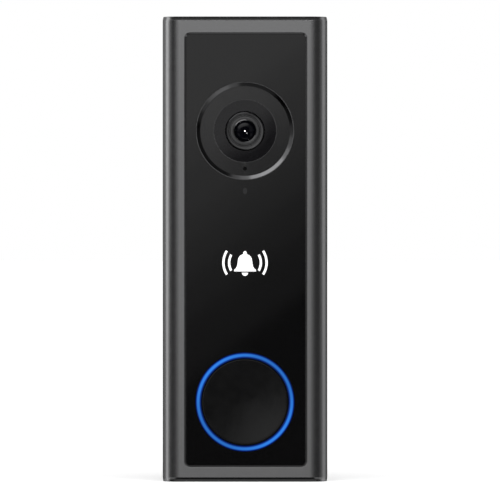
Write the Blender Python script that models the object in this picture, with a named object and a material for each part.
"""Video doorbell with its wall bracket, as an assembly of separate solids.

Frame: metres, +Z up. The origin is the centre of the bracket's back face, which lies on the wall.
+Y points into the wall, so the doorbell's face looks along -Y, and +X is to the right of someone who looks at it.
All driving sizes below are in millimetres and are turned into metres when a mesh is written.
"""

import math

import bmesh
import bpy
from mathutils import Vector
from mathutils.geometry import tessellate_polygon

MM = 0.001

# ---------------------------------------------------------------- driving sizes, mm
WIDTH, HEIGHT, DEPTH = 43.2, 121.74, 24.0
HALF_W, HALF_H = WIDTH / 2, HEIGHT / 2
FRONT = -DEPTH                      # front face of the housing
EDGE_R = 4.8                        # round of the two long front edges
END_EDGE = ((0.0, 1.10), (0.01, 1.05), (0.095, 0.775), (0.12, 0.72), (0.50, 0.08), (0.62, 0.0))   # bevel along the top and bottom edges: (inwards, from the end)
WALL = 2.0
SEAM = -6.2                         # where the housing meets the rear cover
WALL_FACE = -20.6                   # inner face of the housing's front wall
SEAT = -22.1                        # floor of the pocket that holds the front panel
OPEN_X, OPEN_Z, OPEN_R = 15.62, 56.40, 1.4   # half sizes and corner of the face opening
OPEN_S, OPEN_C = 0.2, -0.2          # the opening's centre, sideways and in height
PANEL_FRONT, PANEL_BACK = -23.65, -22.25
CAM_Z = 30.94                       # height of the lens axis
MIC_Z = CAM_Z - 9.9
LIGHT_Z = 15.2                      # status light
BTN_Z = -40.02                      # height of the button's axis
BTN_TRAVEL = 0.6
COVER_FRONT, COVER_BACK = -6.0, -1.0
NEST = -3.8                         # floor of the recess that the bracket sits in
NEST_X, NEST_Z = 18.6, 57.6
POCKET_X, POCKET_Z0, POCKET_Z1, POCKET_Y = 13.0, -34.0, -12.0, -10.6
TERM_X, TERM_Z = 7.0, -22.0
SYNC_Z = 9.0
SCREW_X, SCREW_Z = 15.8, 54.8       # rear screws
PCB_F, PCB_B = -13.6, -12.6         # main board, front and back faces
PCB_SCREW_X, PCB_SCREW_Z = 16.2, -46.5
PIVOT_Y, PIVOT_Z = -2.5, 57.8       # hook line that the doorbell swings on
PLATE_T = 2.0                       # bracket plate

# ---------------------------------------------------------------- scene and materials
for old in list(bpy.data.objects):
    bpy.data.objects.remove(old, do_unlink=True)


def material(name, rgb, roughness, metallic=0.0, alpha=1.0):
    m = bpy.data.materials.new(name)
    m.use_nodes = True
    shader = m.node_tree.nodes["Principled BSDF"]
    shader.inputs["Base Color"].default_value = (*rgb, 1.0)
    shader.inputs["Roughness"].default_value = roughness
    shader.inputs["Metallic"].default_value = metallic
    shader.inputs["Alpha"].default_value = alpha
    return m


GUNMETAL = material("gunmetal", (0.10, 0.10, 0.105), 0.32, 0.6)
GLOSS_BLACK = material("gloss_black", (0.008, 0.008, 0.009), 0.06)
SATIN_BLACK = material("satin_black", (0.018, 0.018, 0.019), 0.35)
MATTE_BLACK = material("matte_black", (0.02, 0.02, 0.021), 0.6)
IR_BLACK = material("ir_black", (0.004, 0.004, 0.006), 0.05)
LENS_GLASS = material("lens_glass", (0.01, 0.01, 0.014), 0.02)
RING_BLUE = material("ring_blue", (0.03, 0.22, 0.90), 0.3)
RUBBER = material("rubber", (0.03, 0.03, 0.032), 0.8)
SILICONE = material("silicone", (0.55, 0.56, 0.57), 0.6)
BOARD = material("board_green", (0.01, 0.12, 0.05), 0.4)
BOARD_BLACK = material("board_black", (0.012, 0.014, 0.016), 0.4)
STEEL = material("steel", (0.62, 0.62, 0.63), 0.3, 1.0)
SHIELD = material("tin_shield", (0.66, 0.67, 0.68), 0.35, 1.0)
BRASS = material("brass", (0.78, 0.58, 0.26), 0.3, 1.0)
FERRITE = material("ferrite", (0.06, 0.06, 0.062), 0.6)
FLEX = material("flex_amber", (0.45, 0.20, 0.04), 0.35)
FILTER = material("filter_glass", (0.35, 0.60, 0.62), 0.05)
PAPER = material("label_grey", (0.55, 0.56, 0.57), 0.6)
TAPE = material("tape", (0.05, 0.05, 0.05), 0.7)

COLLECTION = bpy.context.scene.collection


def empty(name, place, parent=None):
    e = bpy.data.objects.new(name, None)
    COLLECTION.objects.link(e)
    e["at"] = place
    e.parent = parent
    base = Vector(parent["at"]) if parent else Vector((0, 0, 0))
    e.location = (Vector(place) - base) * MM
    return e


# One empty on each joint's axis; its children are the pieces of that body.
BRACKET = empty("bracket_frame", (0, 0, 0))
BELL = empty("hook_axis", (0, PIVOT_Y, PIVOT_Z), BRACKET)
LATCH = empty("latch_axis", (0, -3.0, -54.0), BRACKET)
BUTTON = empty("button_axis", (0, -22.0, BTN_Z), BELL)
PLUNGER = empty("button_plunger_axis", (0, -19.5, BTN_Z), BELL)
SYNC = empty("sync_axis", (0, -5.5, SYNC_Z), BELL)
SYNC_PIN = empty("sync_plunger_axis", (0, -9.0, SYNC_Z), BELL)
CLAMP_L = empty("clamp_axis_left", (-TERM_X, -9.2, TERM_Z), BELL)
CLAMP_R = empty("clamp_axis_right", (TERM_X, -9.2, TERM_Z), BELL)
SCREW_L = empty("terminal_axis_left", (-TERM_X, -8.6, TERM_Z), CLAMP_L)
SCREW_R = empty("terminal_axis_right", (TERM_X, -8.6, TERM_Z), CLAMP_R)
SHUTTLE = empty("shuttle_axis", (0, -12.95, CAM_Z), BELL)
CONE = empty("cone_axis", (0, -13.2, -57.7), BELL)


# ---------------------------------------------------------------- mesh tools
def write(bm, name, mat, parent=None, smooth=35, helper=False):
    """Makes an object of a bmesh whose points are world millimetres; its own origin is its parent's."""
    bmesh.ops.recalc_face_normals(bm, faces=bm.faces[:])
    base = Vector(parent["at"]) if parent else Vector((0, 0, 0))
    for v in bm.verts:
        v.co = (v.co - base) * MM
    mesh = bpy.data.meshes.new(name)
    bm.to_mesh(mesh)
    bm.free()
    if mat:
        mesh.materials.append(mat)
    if smooth:
        mesh.shade_smooth()
        mesh.set_sharp_from_angle(angle=math.radians(smooth))
    ob = bpy.data.objects.new(name, mesh)
    COLLECTION.objects.link(ob)
    ob.parent = parent
    if helper:
        ob.hide_render = True
        ob.display_type = "WIRE"
    return ob


def arc(cx, cy, r, a0, a1, n):
    return [
        (cx + r * math.cos(math.radians(a0 + (a1 - a0) * k / n)),
         cy + r * math.sin(math.radians(a0 + (a1 - a0) * k / n)))
        for k in range(n + 1)
    ]


def circle(cx, cy, r, n, turn=0.0):
    return arc(cx, cy, r, turn, turn + 360, n)[:-1]


def rrect(x0, x1, z0, z1, r, n=4):
    if r <= 0:
        return [(x1, z0), (x1, z1), (x0, z1), (x0, z0)]
    return (
        arc(x1 - r, z0 + r, r, -90, 0, n)
        + arc(x1 - r, z1 - r, r, 0, 90, n)
        + arc(x0 + r, z1 - r, r, 90, 180, n)
        + arc(x0 + r, z0 + r, r, 180, 270, n)
    )


def stadium(cx, cz, length, width, along_x=True, n=5):
    r, s = width / 2, (length - width) / 2
    if along_x:
        return arc(cx + s, cz, r, -90, 90, n) + arc(cx - s, cz, r, 90, 270, n)
    return arc(cx, cz + s, r, 0, 180, n) + arc(cx, cz - s, r, 180, 360, n)


def at(axis, u, v, w):
    """A point from its place in the section (u, v) and along the axis (w)."""
    return {"Y": (u, w, v), "Z": (u, v, w), "X": (w, u, v)}[axis]


def prism_into(bm, loops, w0, w1, axis="Y"):
    """Straight prism of a section with holes: loops[0] is the outline, the rest are holes."""
    rows = []
    for w in (w0, w1):
        rows.append([[bm.verts.new(at(axis, u, v, w)) for u, v in loop] for loop in loops])
    flat = [[Vector((u, v, 0)) for u, v in loop] for loop in loops]
    for row in rows:
        verts = [v for loop in row for v in loop]
        if len(loops) == 1:
            bm.faces.new(verts)
            continue
        for tri in tessellate_polygon(flat):
            bm.faces.new([verts[k] for k in tri])
    for low, high in zip(*rows):
        for k in range(len(low)):
            m = (k + 1) % len(low)
            bm.faces.new((low[k], low[m], high[m], high[k]))


def prism(name, loops, w0, w1, mat=None, parent=None, axis="Y", **more):
    bm = bmesh.new()
    prism_into(bm, loops, w0, w1, axis)
    return write(bm, name, mat, parent, **more)


def box_into(bm, x0, x1, y0, y1, z0, z1):
    prism_into(bm, [[(x0, z0), (x1, z0), (x1, z1), (x0, z1)]], y0, y1)


def box(name, x0, x1, y0, y1, z0, z1, mat=None, parent=None, bevel=0.0, **more):
    bm = bmesh.new()
    box_into(bm, x0, x1, y0, y1, z0, z1)
    if bevel:
        bmesh.ops.recalc_face_normals(bm, faces=bm.faces[:])
        corners = [e for e in bm.edges if e.calc_face_angle() > 0.5]
        bmesh.ops.bevel(bm, geom=corners, offset=bevel, segments=1, affect="EDGES")
    return write(bm, name, mat, parent, **more)


def turn_into(bm, profile, cx, cz, n, axis="Y", start=0.0):
    """Turns a closed profile of (radius, place along the axis) about the axis through (cx, cz)."""
    rings = []
    for r, w in profile:
        if r < 1e-6:
            rings.append([bm.verts.new(at(axis, cx, cz, w))])
        else:
            rings.append([
                bm.verts.new(at(axis, cx + r * math.cos(start + 2 * math.pi * k / n),
                                cz + r * math.sin(start + 2 * math.pi * k / n), w))
                for k in range(n)
            ])
    for i, low in enumerate(rings):
        high = rings[(i + 1) % len(rings)]
        if len(low) == 1 and len(high) == 1:
            continue
        for k in range(n):
            m = (k + 1) % n
            if len(low) == 1:
                bm.faces.new((low[0], high[k], high[m]))
            elif len(high) == 1:
                bm.faces.new((low[k], high[0], low[m]))
            else:
                bm.faces.new((low[k], low[m], high[m], high[k]))


def turned(name, profile, cx, cz, n, mat=None, parent=None, axis="Y", start=0.0, **more):
    bm = bmesh.new()
    turn_into(bm, profile, cx, cz, n, axis, start)
    return write(bm, name, mat, parent, **more)


def loft(name, loops, mat=None, parent=None, ring=False, **more):
    """Skins closed loops of 3-D points that all have as many points. A ring joins its last loop to its first."""
    bm = bmesh.new()
    rows = [[bm.verts.new(p) for p in loop] for loop in loops]
    pairs = list(zip(rows, rows[1:])) + ([(rows[-1], rows[0])] if ring else [])
    for low, high in pairs:
        for k in range(len(low)):
            m = (k + 1) % len(low)
            bm.faces.new((low[k], low[m], high[m], high[k]))
    if not ring:
        bm.faces.new(rows[0])
        bm.faces.new(rows[-1])
    return write(bm, name, mat, parent, **more)


def boolean(ob, other, operation="DIFFERENCE"):
    m = ob.modifiers.new(operation.lower(), "BOOLEAN")
    m.operation = operation
    m.object = other
    m.solver = "EXACT"
    return ob


def cut(ob, *others):
    for o in others:
        boolean(ob, o, "DIFFERENCE")
    return ob


def join(ob, *others):
    for o in others:
        boolean(ob, o, "UNION")
    return ob


def helper_of(parent):
    return {"parent": parent, "helper": True, "smooth": 0}


# ---------------------------------------------------------------- front housing
def d_section(inset, z):
    """Section of the housing: square at the seam, with two rounded front edges. The inset is smaller at the sides."""
    r, x, y = EDGE_R - inset, HALF_W - 0.35 * inset, FRONT + inset
    left = [(-a, b) for a, b in reversed(arc(x - r, y + r, r, -90, 0, 8))]
    points = left + arc(x - r, y + r, r, -90, 0, 8)
    points = [(-x, SEAM)] + points + [(x, SEAM)]
    return [(a, b, z) for a, b in points]


levels = [(i, HALF_H - d) for i, d in END_EDGE]
housing = loft(
    "front_housing",
    [d_section(i, -z) for i, z in reversed(levels)] + [d_section(i, z) for i, z in levels],
    GUNMETAL, BELL,
)
inner_x, inner_z = HALF_W - WALL, 59.0
cavity_section = [(-inner_x, 1.0)] + arc(-inner_x + 2.8, WALL_FACE + 2.8, 2.8, 180, 270, 4) \
    + arc(inner_x - 2.8, WALL_FACE + 2.8, 2.8, 270, 360, 4) + [(inner_x, 1.0)]
cavity = prism("cut_cavity", [cavity_section], -inner_z, inner_z, axis="Z", **helper_of(BELL))


def face_opening(grow, y):
    return [(x, y, z) for x, z in rrect(OPEN_S - OPEN_X - grow, OPEN_S + OPEN_X + grow, OPEN_C - OPEN_Z - grow, OPEN_C + OPEN_Z + grow, OPEN_R + grow, 4)]


pocket = loft(
    "cut_face_pocket",
    [face_opening(1.35, FRONT - 0.52), face_opening(0.0, FRONT + 0.26), face_opening(0.0, SEAT)],
    **helper_of(BELL),
)
bm = bmesh.new()
for sx in (-1, 1):
    for sz in (-1, 1):
        turn_into(bm, [(0, -21.4), (2.2, -21.4), (2.2, -6.35), (0, -6.35)], sx * SCREW_X, sz * SCREW_Z, 16)
    # posts that carry the button board and the main board
    turn_into(bm, [(0, -21.4), (2.3, -21.4), (2.3, -17.7), (1.5, -17.7), (1.5, -13.7), (0, -13.7)],
              sx * PCB_SCREW_X, PCB_SCREW_Z, 16)
    turn_into(bm, [(0, -21.4), (2.0, -21.4), (2.0, -13.7), (0, -13.7)], sx * PCB_SCREW_X, 12.5, 16)
    # camera posts
    turn_into(bm, [(0, -21.4), (2.0, -21.4), (2.0, -19.1), (0, -19.1)], sx * 12.8, CAM_Z, 16)
posts = write(bm, "add_posts", None, **helper_of(BELL))
bm = bmesh.new()
turn_into(bm, [(0, -23), (7.4, -23), (7.4, -20), (0, -20)], 0, CAM_Z, 48)        # lens and infrared lamps
turn_into(bm, [(0, -23), (13.1, -23), (13.1, -20), (0, -20)], 0, BTN_Z, 64)      # button
turn_into(bm, [(0, -23), (0.6, -23), (0.6, -20), (0, -20)], 0, MIC_Z, 12)        # microphone
turn_into(bm, [(0, -23), (1.05, -23), (1.05, -20), (0, -20)], 0, LIGHT_Z, 16)    # status light
for sx in (-1, 1):
    for sz in (-1, 1):
        turn_into(bm, [(0, -14.0), (0.95, -14.0), (0.95, -6.0), (0, -6.0)], sx * SCREW_X, sz * SCREW_Z, 12)
    turn_into(bm, [(0, -18.5), (0.9, -18.5), (0.9, -13.0), (0, -13.0)], sx * PCB_SCREW_X, PCB_SCREW_Z, 12)
    turn_into(bm, [(0, -20.9), (0.8, -20.9), (0.8, -18.5), (0, -18.5)], sx * 12.8, CAM_Z, 12)
holes = write(bm, "cut_front_holes", None, **helper_of(BELL))
bm = bmesh.new()
for k in range(-4, 5):                                                           # sound slots in the bottom end
    prism_into(bm, [stadium(k * 2.7, -13.2, 6.4, 1.2, along_x=False, n=4)], -62.0, -58.0, "Z")
slots = write(bm, "cut_sound_slots", None, **helper_of(BELL))
cut(housing, cavity, pocket)
join(housing, posts)
cut(housing, holes, slots)

# ---------------------------------------------------------------- face
panel = loft(
    "front_panel",
    [[(x, y, z) for x, z in rrect(OPEN_S - OPEN_X + 0.2 + i, OPEN_S + OPEN_X - 0.2 - i, OPEN_C - OPEN_Z + 0.2 + i, OPEN_C + OPEN_Z - 0.2 - i, 1.2 - i, 4)]
     for y, i in ((PANEL_BACK, 0.0), (PANEL_FRONT + 0.3, 0.0), (PANEL_FRONT + 0.09, 0.09), (PANEL_FRONT, 0.3))],
    GLOSS_BLACK, BELL,
)
bm = bmesh.new()
turn_into(bm, [(0, -25), (12.85, -25), (12.85, -21), (0, -21)], 0, CAM_Z, 64)
turn_into(bm, [(0, -25), (12.95, -25), (12.95, -21), (0, -21)], 0, BTN_Z, 64)
cut(panel, write(bm, "cut_panel_holes", None, **helper_of(BELL)))

prism("panel_tape", [
    rrect(-15.0, 15.0, -55.9, 55.9, 1.0, 2),
    circle(0, CAM_Z, 13.4, 32), circle(0, BTN_Z, 13.8, 32),
    circle(0, LIGHT_Z, 1.6, 12),
], -22.22, -22.13, TAPE, BELL)

bezel = turned("camera_bezel", [
    (12.7, -23.65), (12.67, -23.65), (11.75, -22.80), (8.25, -22.88), (8.25, -22.16), (12.7, -22.16),
], 0, CAM_Z, 64, SATIN_BLACK, BELL)
cut(bezel, turned("cut_mic_hole", [(0, -24), (0.5, -24), (0.5, -21), (0, -21)], 0, MIC_Z, 16, **helper_of(BELL)))

turned("ir_window", [(5.22, -22.88), (8.17, -22.80), (8.17, -22.16), (5.08, -22.16), (5.08, -22.50)],
       0, CAM_Z, 48, IR_BLACK, BELL)

# ---------------------------------------------------------------- camera
turned("lens_barrel", [
    (4.9, -22.3), (4.75, -22.42), (4.45, -22.42), (4.2, -22.12), (3.95, -22.12), (3.6, -22.3), (3.35, -22.3),
    (3.0, -21.9), (3.0, -20.6), (2.0, -20.6), (2.0, -14.8), (4.9, -14.8),
], 0, CAM_Z, 32, SATIN_BLACK, BELL)
dome = [(0, -22.25)] + [(2.92 * math.sin(math.radians(a)), -20.65 - 1.6 * math.cos(math.radians(a)) ** 1.0)
                        for a in (15, 30, 45, 60, 74)] + [(2.92, -21.0), (2.92, -20.66), (0, -20.66)]
turned("lens_front_element", dome, 0, CAM_Z, 24, LENS_GLASS, BELL)

holder = box("lens_holder", -8.5, 8.5, -19.5, -13.9, CAM_Z - 8.5, CAM_Z + 8.5, MATTE_BLACK, BELL)
bm = bmesh.new()
box_into(bm, -15.0, 15.0, -18.95, -17.5, CAM_Z - 2.6, CAM_Z + 2.6)
ears = write(bm, "add_holder_ears", None, **helper_of(BELL))
bm = bmesh.new()
for sx in (-1, 1):
    for sz in (-1, 1):
        cx, cz = sx * 7.3, CAM_Z + sz * 7.3
        box_into(bm, cx - 1.1, cx + 1.1, -14.5, -10.5, cz - 1.1, cz + 1.1)
legs = write(bm, "add_holder_legs", None, **helper_of(BELL))
bm = bmesh.new()
turn_into(bm, [(0, -20), (5.05, -20), (5.05, -13), (0, -13)], 0, CAM_Z, 32)
for sx in (-1, 1):
    turn_into(bm, [(0, -20), (1.0, -20), (1.0, -17), (0, -17)], sx * 12.8, CAM_Z, 12)
join(holder, ears, legs)
cut(holder, write(bm, "cut_holder_bore", None, **helper_of(BELL)))

tray = box("ir_cut_tray", -12.4, 12.4, -13.8, -11.6, CAM_Z - 5.6, CAM_Z + 5.6, MATTE_BLACK, BELL)
bm = bmesh.new()
box_into(bm, -11.7, 11.7, -15.0, -12.2, CAM_Z - 4.8, CAM_Z + 4.8)
tray_slot = write(bm, "cut_tray_slot", None, **helper_of(BELL))
cut(tray, tray_slot, turned("cut_tray_gate", [(0, -13), (2.9, -13), (2.9, -11), (0, -11)], 0, CAM_Z, 24, **helper_of(BELL)))
# the shuttle stands with its infrared-cut glass on the lens axis and slides to bring the clear glass there
prism("ir_cut_shuttle", [
    rrect(-4.0, 11.4, CAM_Z - 4.6, CAM_Z + 4.6, 0.5, 2),
    rrect(-3.2, 3.2, CAM_Z - 3.2, CAM_Z + 3.2, 0), rrect(4.2, 10.6, CAM_Z - 3.2, CAM_Z + 3.2, 0),
], -13.6, -12.35, SATIN_BLACK, SHUTTLE)
box("ir_cut_filter", -3.1, 3.1, -13.2, -12.75, CAM_Z - 3.1, CAM_Z + 3.1, FILTER, SHUTTLE)

box("image_sensor", -3.6, 3.6, -11.35, -10.45, CAM_Z - 3.0, CAM_Z + 3.0, BOARD_BLACK, BELL, bevel=0.1)
board = prism("sensor_board", [rrect(-10, 10, CAM_Z - 10, CAM_Z + 10, 1.0, 2)], -10.4, -9.4, BOARD, BELL)
bm = bmesh.new()
box_into(bm, 4.5, 7.5, -9.6, -8.5, CAM_Z + 2, CAM_Z + 6)
box_into(bm, -8.0, -5.5, -9.6, -8.7, CAM_Z + 1, CAM_Z + 5)
box_into(bm, -5.2, 5.2, -9.6, -8.2, CAM_Z - 8.6, CAM_Z - 5.4)
join(board, write(bm, "add_sensor_chips", None, **helper_of(BELL)))


def ribbon(name, path, half, thick, mat, parent):
    """Flat cable: a strip of even thickness that follows (y, z) points, half its width each side of x."""
    side = []
    for i, p in enumerate(path):
        a, b = path[max(i - 1, 0)], path[min(i + 1, len(path) - 1)]
        t = Vector((b[0] - a[0], b[1] - a[1])).normalized()
        side.append((Vector(p) + Vector((-t.y, t.x)) * thick / 2, Vector(p) - Vector((-t.y, t.x)) * thick / 2))
    loop = [tuple(s[0]) for s in side] + [tuple(s[1]) for s in reversed(side)]
    return prism(name, [loop], half[0], half[1], mat, parent, axis="X")


def smooth_step(y0, z0, y1, z1, n=8):
    return [(y0 + (y1 - y0) * (0.5 - 0.5 * math.cos(math.pi * k / n)), z0 + (z1 - z0) * k / n) for k in range(n + 1)]


ribbon("camera_flex", smooth_step(-8.6, 21.6, -11.9, 14.0), (-4.0, 4.0), 0.25, FLEX, BELL)

led_board = turned("ir_led_board", [(5.15, -20.35), (7.9, -20.35), (7.9, -19.55), (5.15, -19.55)], 0, CAM_Z, 36, BOARD_BLACK, BELL)
bm = bmesh.new()
for k in range(6):
    a = math.radians(60 * k + 30)
    u, v = Vector((math.cos(a), math.sin(a))), Vector((-math.sin(a), math.cos(a)))
    c = u * 6.0
    loop = [tuple(c + u * s + v * t) for s, t in ((-0.75, -0.75), (0.75, -0.75), (0.75, 0.75), (-0.75, 0.75))]
    prism_into(bm, [[(p[0], p[1] + CAM_Z) for p in loop]], -21.2, -20.2)
join(led_board, write(bm, "add_ir_lamps", None, **helper_of(BELL)))

turned("mic_boot", [(0.5, -20.5), (1.2, -20.5), (1.2, -19.0), (0.5, -19.0)], 0, MIC_Z, 16, RUBBER, BELL)
mic = box("microphone", -4.5, 4.5, -17.8, -17.0, 17.8, 22.1, BOARD_BLACK, BELL)
join(mic, box("add_mic_can", -1.75, 1.75, -18.9, -17.6, MIC_Z - 1.5, MIC_Z + 0.9, **helper_of(BELL)))


def pan_screw(name, x, z, head_r, y_out, y_under, y_tip, shank_r, parent, mat=STEEL, n=20, drive=0.55):
    """Pan head with a cross recess. The head is on the +Y side, the tip towards -Y."""
    ob = turned(name, [(0, y_out), (head_r * 0.72, y_out), (head_r * 0.94, y_out - 0.2), (head_r, y_out - 0.5),
                       (head_r, y_under), (shank_r, y_under), (shank_r, y_tip + shank_r * 0.6), (shank_r * 0.45, y_tip), (0, y_tip)],
                x, z, n, mat, parent, start=math.pi / n)
    bm = bmesh.new()
    w, t, l = head_r * 0.17, head_r * 0.15, head_r * drive
    prism_into(bm, [[(x + a, z + b) for a, b in (
        (-t, -l), (t, -l), (w, -w), (l, -t), (l, t), (w, w), (t, l), (-t, l), (-w, w), (-l, t), (-l, -t), (-w, -w))]],
        y_out - (y_out - y_under) * 0.6, y_out + 1.0)
    return cut(ob, write(bm, "cut_" + name, None, **helper_of(parent)))


pan_screw("camera_screw_left", -12.8, CAM_Z, 1.8, -16.4, -17.45, -20.6, 0.65, BELL, n=12)
pan_screw("camera_screw_right", 12.8, CAM_Z, 1.8, -16.4, -17.45, -20.6, 0.65, BELL, n=12)

turned("status_light_pipe", [(0, -22.1), (0.85, -22.1), (0.85, -14.45), (0, -14.45)], 0, LIGHT_Z, 16, SILICONE, BELL)

# ---------------------------------------------------------------- antenna
aerial = prism("antenna_board", [rrect(-13, 13, 45.5, 53.0, 0.8, 2)], -20.35, -19.6, BOARD, BELL)
join(aerial, box("add_antenna_socket", 9.6, 12.0, -19.8, -18.6, 46.4, 48.8, **helper_of(BELL)))
route = [(10.8, -18.0, 47.6), (12.4, -17.6, 47.5), (15.3, -17.2, 46.0), (17.2, -16.6, 42.0), (17.6, -15.9, 36.0),
         (17.6, -15.4, 28.0), (17.3, -15.3, 23.0), (16.2, -15.5, 19.6), (14.2, -16.0, 16.8), (13.2, -16.5, 13.4), (13.2, -16.7, 8.4)]


def catmull(points, per):
    """A smooth curve through the points."""
    out = []
    p = [Vector(q) for q in points]
    for i in range(len(p) - 1):
        a, b, c, d = p[max(i - 1, 0)], p[i], p[i + 1], p[min(i + 2, len(p) - 1)]
        for k in range(per):
            t = k / per
            out.append(0.5 * ((2 * b) + (c - a) * t + (2 * a - 5 * b + 4 * c - d) * t * t + (3 * b - a - 3 * c + d) * t ** 3))
    return out + [p[-1]]


line = bpy.data.curves.new("antenna_cable", "CURVE")
line.dimensions = "3D"
line.bevel_depth = 0.55 * MM
line.bevel_resolution = 1
line.use_fill_caps = True
line.materials.append(RUBBER)
spline = line.splines.new("POLY")
way = catmull(route, 3)
spline.points.add(len(way) - 1)
for point, p in zip(spline.points, way):
    point.co = (*((p - Vector(BELL["at"])) * MM), 1.0)
cable = bpy.data.objects.new("antenna_cable", line)
COLLECTION.objects.link(cable)
cable.parent = BELL

# ---------------------------------------------------------------- button
turned("button_light_ring", [
    (12.8, -23.68), (11.65, -23.68), (11.65, -20.5), (12.5, -20.5), (12.5, -19.3), (14.6, -19.3), (14.6, -20.48), (12.8, -20.48),
], 0, BTN_Z, 64, RING_BLUE, BELL)
dish = [(r, -23.36 - 0.20 * (r / 11.1) ** 2) for r in (0, 4.0, 7.8, 11.1)]
turned("button_cap", dish + [
    (11.4, -23.46), (11.4, -20.35), (12.3, -20.35), (12.3, -19.55), (10.3, -19.55), (10.3, -22.3), (1.8, -22.1), (1.8, -21.25), (0, -21.25),
], 0, BTN_Z, 48, GLOSS_BLACK, BUTTON)
turned("button_seal", [
    (0, -21.15), (3.2, -21.15), (4.4, -20.9), (9.8, -19.25), (11.4, -18.95), (12.6, -18.8), (12.6, -17.7), (11.4, -17.7),
    (11.0, -18.3), (9.6, -18.75), (4.2, -20.3), (3.0, -20.7), (0, -20.7),
], 0, BTN_Z, 24, SILICONE, BELL)
switch = box("button_switch", -3.1, 3.1, -19.4, -17.65, BTN_Z - 3.1, BTN_Z + 3.1, MATTE_BLACK, BELL, bevel=0.15)
cut(switch, turned("cut_switch_bore", [(0, -21), (1.75, -21), (1.75, -17.9), (0, -17.9)], 0, BTN_Z, 16, **helper_of(BELL)))
turned("button_plunger", [(0, -20.6), (1.3, -20.6), (1.6, -20.4), (1.6, -18.6), (0, -18.6)], 0, BTN_Z, 16, RUBBER, PLUNGER)
button_board = prism("button_board", [
    [(-13.2, -54.9), (13.2, -54.9), (13.3, -52.4), (18.4, -52.3), (18.4, -25.4), (-18.4, -25.4), (-18.4, -52.3), (-13.3, -52.4)],
    circle(-PCB_SCREW_X, PCB_SCREW_Z, 1.75, 12), circle(PCB_SCREW_X, PCB_SCREW_Z, 1.75, 12),
], -17.6, -16.6, BOARD, BELL)
bm = bmesh.new()
for k in range(8):
    a = math.radians(45 * k + 22.5)
    u, v = Vector((math.cos(a), math.sin(a))), Vector((-math.sin(a), math.cos(a)))
    c = u * 13.6
    loop = [tuple(c + u * s + v * t) for s, t in ((-0.6, -1.0), (0.6, -1.0), (0.6, 1.0), (-0.6, 1.0))]
    prism_into(bm, [[(p[0], p[1] + BTN_Z) for p in loop]], -18.35, -17.4)
box_into(bm, -4.5, 4.5, -16.8, -15.4, -31.5, -28.5)
join(button_board, write(bm, "add_ring_lamps", None, **helper_of(BELL)))
ribbon("button_flex", [(-15.25, -29.5), (-15.1, -28.4), (-14.9, -27.0), (-14.3, -26.0), (-13.8, -24.6), (-13.75, -22.8)],
       (-3.5, 3.5), 0.2, FLEX, BELL)

# ---------------------------------------------------------------- speaker, firing down through the slots
prism("speaker_mesh", [stadium(0, -13.2, 26.6, 8.2, n=5)], -58.95, -58.8, TAPE, BELL, axis="Z")
prism("speaker_frame", [stadium(0, -13.2, 26.0, 8.2, n=6), stadium(0, -13.2, 24.2, 6.6, n=6)], -58.72, -55.3, MATTE_BLACK, BELL, axis="Z")
bm = bmesh.new()
prism_into(bm, [stadium(0, -13.2, 23.9, 6.3, n=6)], -58.0, -57.6, "Z")
cone = write(bm, "speaker_cone", TAPE, CONE)
join(cone, prism("add_voice_coil", [stadium(0, -13.2, 9.0, 3.4, n=5), stadium(0, -13.2, 8.4, 2.8, n=5)], -57.7, -55.9, axis="Z", **helper_of(CONE)))
magnet = prism("speaker_magnet", [stadium(0, -13.2, 23.8, 6.2, n=5)], -55.7, -55.3, STEEL, BELL, axis="Z")
cut(magnet, prism("cut_magnet_gap", [stadium(0, -13.2, 9.8, 4.2, n=5)], -56.2, -55.0, axis="Z", **helper_of(BELL)))
join(magnet, box("add_magnet_block", -7.0, 7.0, -16.0, -10.4, -55.4, -52.0, **helper_of(BELL)))

# ---------------------------------------------------------------- main board and what is on it
pcb = prism("main_pcb", [
    rrect(-18.6, 18.6, -51.4, 16.6, 1.5, 2),
    circle(-PCB_SCREW_X, PCB_SCREW_Z, 1.0, 12), circle(PCB_SCREW_X, PCB_SCREW_Z, 1.0, 12),
], PCB_F, PCB_B, BOARD, BELL)
bm = bmesh.new()
box_into(bm, -1.2, 1.2, -14.35, -13.4, LIGHT_Z - 1.0, LIGHT_Z + 1.0)      # light sensor and lamp under the light pipe
box_into(bm, -4.6, 4.6, -12.8, -11.75, 11.7, 13.9)                        # camera socket
box_into(bm, -16.5, -9.5, -14.4, -13.4, -24.6, -18.6)                     # power chip
box_into(bm, 11.5, 15.5, -14.3, -13.4, -7.5, -3.5)
box_into(bm, -4.2, 4.2, -13.65 - 1.0, -13.4, -22.4, -20.2)                # button board socket
box_into(bm, -16.8, -13.8, -12.8, -11.5, -4.0, 4.0)
box_into(bm, 13.0, 16.8, -12.8, -11.3, -2.5, 4.5)
join(pcb, write(bm, "add_board_chips", None, **helper_of(BELL)))
box("soc_shield", -15.5, 1.0, -15.8, -13.68, -9.0, 8.5, SHIELD, BELL, bevel=0.3)
box("heat_spreader", -16.5, 2.0, -16.7, -15.86, -10.0, 9.5, STEEL, BELL)
wifi = box("wifi_shield", 3.0, 15.5, -15.6, -13.68, -2.0, 9.5, SHIELD, BELL, bevel=0.3)
join(wifi, box("add_wifi_socket", 12.0, 14.4, -16.1, -15.3, 6.2, 8.6, **helper_of(BELL)))
box("power_inductor", 5.5, 12.7, -17.6, -13.68, -17.2, -10.0, FERRITE, BELL, bevel=0.6)
bm = bmesh.new()
turn_into(bm, [(0, -16.8), (2.7, -16.8), (3.0, -16.5), (3.0, -8.4), (2.75, -8.0), (2.75, -7.6), (3.0, -7.2), (3.0, -6.7), (2.7, -6.4), (0, -6.4)],
          -16.85, -14.6, 20, "X")
write(bm, "hold_up_capacitor", SHIELD, BELL)
pan_screw("pcb_screw_left", -PCB_SCREW_X, PCB_SCREW_Z, 1.8, -11.4, -12.5, -16.8, 0.75, BELL, n=12)
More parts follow.
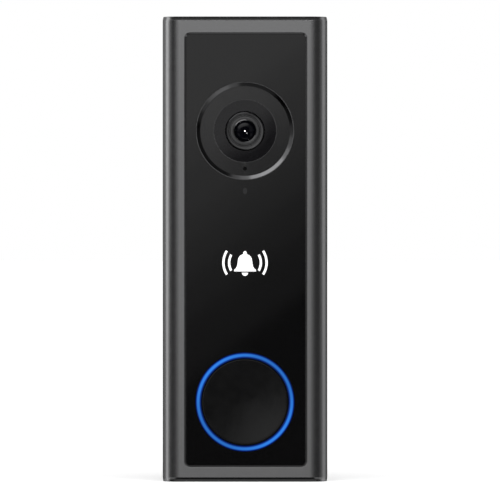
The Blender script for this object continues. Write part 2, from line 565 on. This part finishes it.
pan_screw("pcb_screw_right", PCB_SCREW_X, PCB_SCREW_Z, 1.8, -11.4, -12.5, -16.8, 0.75, BELL, n=12)

# ---------------------------------------------------------------- rear cover
def cover_loop(inset, y):
    return [(x, y, z) for x, z in rrect(-21.5 + inset, 21.5 - inset, -60.77 + inset, 60.77 - inset, 1.0 + inset * 0.6, 4)]


cover = loft("rear_cover", [cover_loop(0, COVER_FRONT), cover_loop(0, -2.6), cover_loop(0.2, -1.85), cover_loop(0.75, -1.25), cover_loop(1.5, COVER_BACK)],
             MATTE_BLACK, BELL)
spigot = prism("add_spigot", [rrect(-19.4, 19.4, -58.8, 58.8, 2.6, 3), rrect(-18.2, 18.2, -57.6, 57.6, 1.4, 3)], -8.6, -5.2, **helper_of(BELL))
well = prism("add_terminal_well", [rrect(-POCKET_X - 1.2, POCKET_X + 1.2, POCKET_Z0 - 1.2, POCKET_Z1 + 1.2, 2.0, 3)], -11.8, -5.2, **helper_of(BELL))
nest = prism("cut_nest", [rrect(-NEST_X, NEST_X, -NEST_Z, NEST_Z, 2.4, 3)], NEST, 1.0, **helper_of(BELL))
well_cut = prism("cut_terminal_well", [rrect(-POCKET_X, POCKET_X, POCKET_Z0, POCKET_Z1, 1.2, 3)], POCKET_Y, 1.0, **helper_of(BELL))
rib = box("add_terminal_rib", -0.6, 0.6, -11.2, -6.6, TERM_Z - 5.5, TERM_Z + 5.5, **helper_of(BELL))
groove = prism("cut_gasket_groove", [rrect(-20.2, 20.2, -59.6, 59.6, 3.4, 3), rrect(-18.75, 18.75, -58.15, 58.15, 1.95, 3)], -7.9, -6.9, **helper_of(BELL))
bm = bmesh.new()
for sx in (-1, 1):
    a, b = sorted((sx * 6.0, sx * 13.0))
    box_into(bm, a, b, -4.6, -2.4, 56.0, 59.6)                                   # slots that hook over the bracket's lugs
    turn_into(bm, [(0, -12.5), (2.35, -12.5), (2.35, -10), (0, -10)], sx * TERM_X, TERM_Z, 20)
    for sz in (-1, 1):
        turn_into(bm, [(0, -6.5), (1.1, -6.5), (1.1, -5.2), (2.5, -5.2), (2.5, -3.0), (0, -3.0)], sx * SCREW_X, sz * SCREW_Z, 20)
box_into(bm, -4.6, 4.6, -4.2, -2.4, -59.0, -57.0)                                # notch for the latch
turn_into(bm, [(0, -6.5), (2.6, -6.5), (2.6, -3.0), (0, -3.0)], 0, SYNC_Z, 24)   # sync button
cover_holes = write(bm, "cut_cover_holes", None, **helper_of(BELL))
pin_hole = turned("cut_pin_hole", [(0, -62.0), (0.8, -62.0), (0.8, -58.5), (0, -58.5)], 0, -3.3, 12, axis="Z", **helper_of(BELL))
join(cover, spigot, well)
cut(cover, nest, well_cut)
join(cover, rib)
cut(cover, groove, cover_holes, pin_hole)

prism("rear_gasket", [rrect(-19.52, 19.52, -58.92, 58.92, 2.72, 3), rrect(-18.85, 18.85, -58.25, 58.25, 2.05, 3)], -7.85, -6.95, SILICONE, BELL)
for side, sx in (("left", -1), ("right", 1)):
    for end, sz in (("top", 1), ("bottom", -1)):
        pan_screw(f"housing_screw_{end}_{side}", sx * SCREW_X, sz * SCREW_Z, 2.2, -3.9, -5.15, -12.8, 0.8, BELL, n=12)
prism("rating_label", [rrect(-11.5, 11.5, 20.0, 42.0, 1.0, 2)], -3.76, -3.62, PAPER, BELL)

# ---------------------------------------------------------------- wire terminals
for side, sx, clamp, screw in (("left", -1, CLAMP_L, SCREW_L), ("right", 1, CLAMP_R, SCREW_R)):
    x = sx * TERM_X
    plate = prism(f"terminal_plate_{side}", [rrect(x - 4.2, x + 4.2, TERM_Z - 4.6, TERM_Z + 4.6, 0.5, 2)], -10.55, -9.75, BRASS, BELL)
    join(plate, turned(f"add_bush_{side}", [(0, -12.5), (2.2, -12.5), (2.2, -10.2), (0, -10.2)], x, TERM_Z, 20, **helper_of(BELL)))
    cut(plate, turned(f"cut_bush_{side}", [(0, -13), (1.62, -13), (1.62, -9), (0, -9)], x, TERM_Z, 20, **helper_of(BELL)))
    prism(f"terminal_washer_{side}", [rrect(x - 3.3, x + 3.3, TERM_Z - 3.3, TERM_Z + 3.3, 0.5, 2), circle(x, TERM_Z, 1.7, 20)], -9.65, -8.8, STEEL, clamp)
    pan_screw(f"terminal_screw_{side}", x, TERM_Z, 3.0, -6.7, -8.7, -12.3, 1.5, screw, n=24)

# ---------------------------------------------------------------- sync button
turned("sync_key", [(0, -4.0), (2.1, -4.0), (2.4, -4.3), (2.4, -6.4), (3.3, -6.4), (3.3, -7.2), (0, -7.2)], 0, SYNC_Z, 24, RUBBER, SYNC)
sync_switch = box("sync_switch", -2.4, 2.4, -12.45, -10.4, SYNC_Z - 2.4, SYNC_Z + 2.4, MATTE_BLACK, BELL, bevel=0.15)
cut(sync_switch, turned("cut_sync_bore", [(0, -12.1), (1.05, -12.1), (1.05, -9), (0, -9)], 0, SYNC_Z, 12, **helper_of(BELL)))
turned("sync_plunger", [(0, -7.3), (0.9, -7.3), (0.9, -11.4), (0, -11.4)], 0, SYNC_Z, 12, RUBBER, SYNC_PIN)

# ---------------------------------------------------------------- wall bracket
bracket = prism("wall_bracket", [
    rrect(-17.6, 17.6, -56.5, 56.2, 3.0, 4),
    rrect(-13.0, 13.0, -35.5, -9.5, 2.0, 3),
    rrect(-12.5, 12.5, 3.0, 44.5, 2.0, 3),
    stadium(0, 50.0, 7.0, 4.2, False, 5),
    stadium(0, -42.0, 7.0, 4.2, False, 5),
], -PLATE_T, 0.0, MATTE_BLACK, BRACKET)
bm = bmesh.new()
for sx in (-1, 1):
    a, b = sorted((sx * 6.4, sx * 12.6))
    prism_into(bm, [[(-1.0, 52.8), (-3.5, 54.2), (-3.5, 58.6), (-3.2, 59.0), (-2.8, 59.0), (-2.6, 58.7), (-2.6, 55.9), (-1.0, 55.9)]], a, b, "X")
    a, b = sorted((sx * 4.3, sx * 5.5))
    box_into(bm, a, b, -3.4, -1.0, -55.6, -48.6)
box_into(bm, -5.2, 5.2, -3.4, -1.0, -48.9, -47.7)
box_into(bm, -3.2, 3.2, -2.5, -1.0, -56.2, -52.0)
lugs = write(bm, "add_lugs", None, **helper_of(BRACKET))
bm = bmesh.new()
prism_into(bm, [stadium(0, 50.0, 10.4, 7.6, False, 5)], -3.0, -1.1)
prism_into(bm, [stadium(0, -42.0, 10.4, 7.6, False, 5)], -3.0, -1.1)
sinks = write(bm, "cut_screw_seats", None, **helper_of(BRACKET))
join(bracket, lugs)
bracket.modifiers[-1].use_self = True
cut(bracket, sinks)

latch_outline = [(-4.0, -56.9), (-3.7, -57.2), (3.7, -57.2), (4.0, -56.9), (4.0, -54.0), (3.4, -54.0), (2.2, -53.0), (3.4, -51.8), (2.2, -50.6),
                 (3.2, -49.4), (2.5, -49.1), (1.2, -50.6), (2.3, -51.8), (1.2, -53.0), (1.6, -54.4)]
latch_outline += [(-x, z) for x, z in reversed(latch_outline[6:])] + [(-3.4, -54.0), (-4.0, -54.0)]
prism("release_latch", [latch_outline], -3.45, -2.6, SATIN_BLACK, LATCH)
